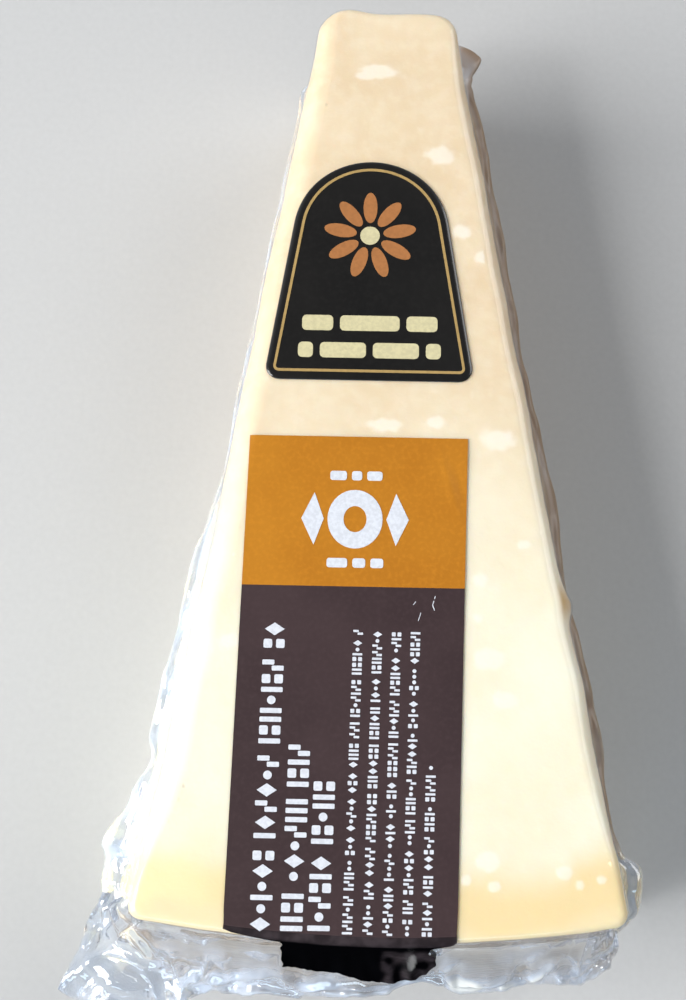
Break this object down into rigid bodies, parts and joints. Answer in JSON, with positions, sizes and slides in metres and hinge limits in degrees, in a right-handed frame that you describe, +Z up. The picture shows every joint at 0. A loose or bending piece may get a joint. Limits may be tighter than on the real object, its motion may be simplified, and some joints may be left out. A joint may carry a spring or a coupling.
{
  "type": "vacuum-packed parmesan wedge",
  "caption": "Long wedge of hard aged cheese, cut from a wheel and sealed in clear clinging film with a crumpled seam flange, printed colour fields and an arched dark badge.",
  "frame": {"origin": "the middle of the base of the whole pack's box, on the surface it lies on", "axes": "X across the wedge, Y along it from the rind end towards the narrow end, Z up from the cut face that it lies on"},
  "size_m": [0.0926, 0.171, 0.0406],
  "materials": {
    "cheese": "dense, slightly waxy aged cheese in pale straw",
    "rind": "hard golden rind",
    "film": "clear clinging film, glossy",
    "ochre_print": "print on glossy film",
    "brown_print": "print on glossy film",
    "black_print": "print on glossy film",
    "pale_ink": "opaque white ink",
    "gold_ink": "fine gold line"
  },
  "bodies": {
    "root": {"sealed_pack": "cheese", "upper_panel": "ochre_print", "lower_panel": "brown_print", "badge": "black_print"}
  },
  "joints": []
}
